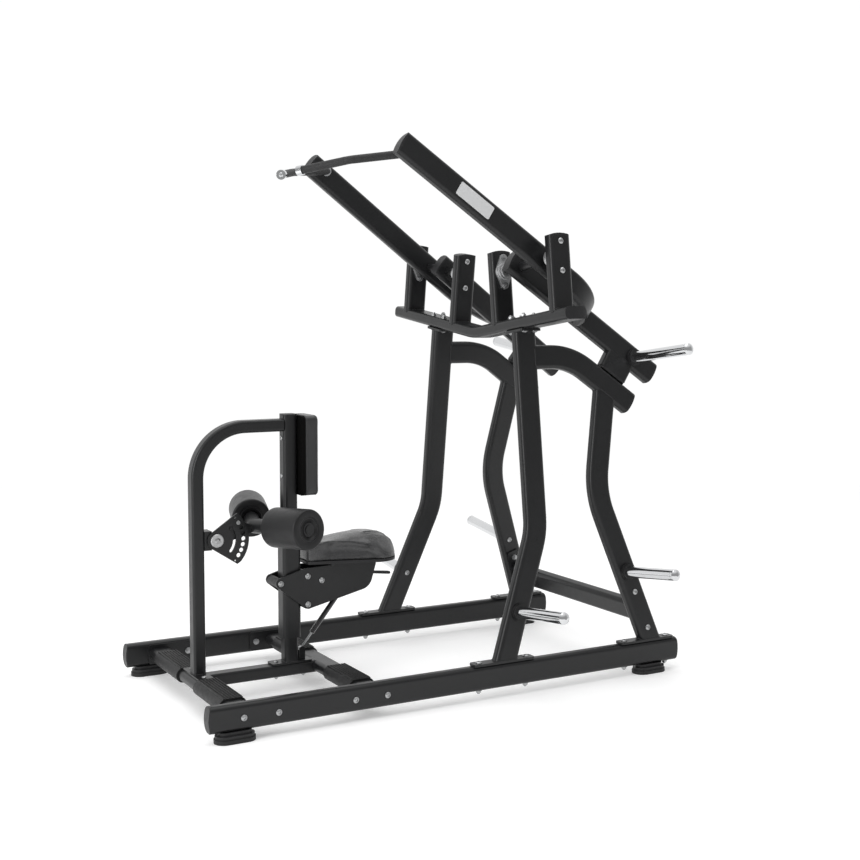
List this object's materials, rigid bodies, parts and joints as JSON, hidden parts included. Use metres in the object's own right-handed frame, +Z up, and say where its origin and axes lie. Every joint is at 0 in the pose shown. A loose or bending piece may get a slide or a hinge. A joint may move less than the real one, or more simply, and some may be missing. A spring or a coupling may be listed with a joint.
{
  "type": "lat pulldown machine",
  "caption": "Plate-loaded lat pulldown machine: leaning tower, two converging pivoting arms with handles, height-adjustable seat on a gas strut, chest pad and thigh rollers.",
  "frame": {"origin": "centre of the footprint, on the floor under the feet", "axes": "+Z up, +X from the front post to the rear end of the rails, +Y to the right-hand side of a user who sits facing the front post"},
  "size_m": [2.146, 1.6584, 2.2285],
  "materials": {
    "frame_paint": "satin black powder coat",
    "cap_plastic": "black moulded plastic",
    "black_rubber": "matt black rubber",
    "zinc_steel": "zinc-plated steel",
    "bearing_iron": "zinc-plated cast iron",
    "sleeve_chrome": "polished chrome",
    "pad_vinyl": "black upholstery vinyl",
    "roller_foam": "foam roller skin, matt black",
    "strut_black": "gloss black strut body"
  },
  "bodies": {
    "frame": {"rail_left": "frame_paint", "rail_right": "frame_paint", "frame_caps": "cap_plastic", "foot_mounts": "cap_plastic", "feet": "black_rubber", "crossbar_front": "frame_paint", "crossbar_middle": "frame_paint", "centre_beam": "frame_paint", "treads": "black_rubber", "base_bolts": "zinc_steel", "front_post": "frame_paint", "seat_post": "frame_paint", "post_sleeve": "frame_paint", "front_leg_left": "frame_paint", "front_leg_right": "frame_paint", "curved_beam_left": "frame_paint", "curved_beam_right": "frame_paint", "rear_leg_left": "frame_paint", "rear_leg_right": "frame_paint", "rear_crossbar": "frame_paint", "tower_bolts": "zinc_steel", "head_beam": "frame_paint", "post_tubes": "frame_paint", "bearing_housings": "bearing_iron", "storage_sleeves": "sleeve_chrome", "sleeve_collars": "black_rubber", "chest_board": "cap_plastic", "chest_pad": "pad_vinyl", "sector_plate": "frame_paint"},
    "arm_left": {"arm_axle_left": "frame_paint", "weight_tube_left": "frame_paint", "handle_tube_left": "frame_paint", "arm_trim_left": "cap_plastic", "arm_sleeve_left": "sleeve_chrome", "grip_left": "black_rubber", "grip_ends_left": "sleeve_chrome", "name_plate": "zinc_steel"},
    "arm_right": {"arm_axle_right": "frame_paint", "weight_tube_right": "frame_paint", "handle_tube_right": "frame_paint", "arm_trim_right": "cap_plastic", "arm_sleeve_right": "sleeve_chrome", "grip_right": "black_rubber", "grip_ends_right": "sleeve_chrome"},
    "roller_arm": {"roller_arm": "frame_paint"},
    "roller_pin": {"roller_pin": "zinc_steel"},
    "roller_left": {"roller_core_left": "cap_plastic", "roller_foam_left": "roller_foam"},
    "roller_right": {"roller_core_right": "cap_plastic", "roller_foam_right": "roller_foam"},
    "seat": {"seat_carriage": "frame_paint", "carriage_bolts": "zinc_steel", "seat_board": "cap_plastic", "seat_pad": "pad_vinyl"},
    "wheel_front": {"guide_wheel_front": "cap_plastic"},
    "wheel_upper": {"guide_wheel_upper": "cap_plastic"},
    "wheel_lower": {"guide_wheel_lower": "cap_plastic"},
    "seat_lever": {"seat_lever": "frame_paint"},
    "strut_rod": {"strut_rod": "zinc_steel"},
    "strut": {"strut": "strut_black"}
  },
  "joints": [
    {"name": "left_arm_swing", "type": "hinge", "parent": "frame", "child": "arm_left", "pos_m": [0.382, -0.36381, 1.74033], "axis": [0, -0.9919, 0.1271], "range_deg": [0, 50]},
    {"name": "right_arm_swing", "type": "hinge", "parent": "frame", "child": "arm_right", "pos_m": [0.382, 0.36381, 1.74033], "axis": [0, -0.9919, -0.1271], "range_deg": [0, 50]},
    {"name": "roller_arm_tilt", "type": "hinge", "parent": "frame", "child": "roller_arm", "pos_m": [-0.852, 0, 0.65], "axis": [0, 1, 0], "range_deg": [0, 72]},
    {"name": "roller_pin_pull", "type": "slide", "parent": "roller_arm", "child": "roller_pin", "axis": [0, 1, 0], "range_m": [0, 0.012], "stiffness_N_per_m": 900, "springref_m": -0.002},
    {"name": "left_roller_spin", "type": "hinge", "parent": "roller_arm", "child": "roller_left", "pos_m": [-0.61237, -0.22418, 0.70702], "axis": [0.292, -0.954, 0.0682], "continuous": true},
    {"name": "right_roller_spin", "type": "hinge", "parent": "roller_arm", "child": "roller_right", "pos_m": [-0.61237, 0.22418, 0.70702], "axis": [0.292, 0.954, 0.0682], "continuous": true},
    {"name": "seat_height", "type": "slide", "parent": "frame", "child": "seat", "axis": [0, 0, 1], "range_m": [-0.04, 0.04]},
    {"name": "front_wheel_spin", "type": "hinge", "parent": "seat", "child": "wheel_front", "pos_m": [-0.5897, 0, 0.454], "axis": [0, 1, 0], "continuous": true},
    {"name": "upper_wheel_spin", "type": "hinge", "parent": "seat", "child": "wheel_upper", "pos_m": [-0.4713, 0, 0.474], "axis": [0, 1, 0], "continuous": true},
    {"name": "lower_wheel_spin", "type": "hinge", "parent": "seat", "child": "wheel_lower", "pos_m": [-0.4713, 0, 0.358], "axis": [0, 1, 0], "continuous": true},
    {"name": "seat_lever_lift", "type": "hinge", "parent": "seat", "child": "seat_lever", "pos_m": [-0.409, 0, 0.452], "axis": [0, -1, 0], "range_deg": [0, 8], "stiffness_Nm_per_rad": 12, "springref_deg": -5.73},
    {"name": "strut_tilt", "type": "hinge", "parent": "frame", "child": "strut_rod", "pos_m": [-0.481, 0, 0.164], "axis": [0, -1, 0], "range_deg": [-6, 6]},
    {"name": "strut_travel", "type": "slide", "parent": "strut_rod", "child": "strut", "axis": [0.6287, 0, 0.7777], "range_m": [-0.034, 0.034]}
  ],
  "couplings": [
    {"joint": "strut_tilt", "follows": "seat_height", "rad_per_m": 1.8857},
    {"joint": "strut_travel", "follows": "seat_height", "ratio": 0.7755}
  ]
}
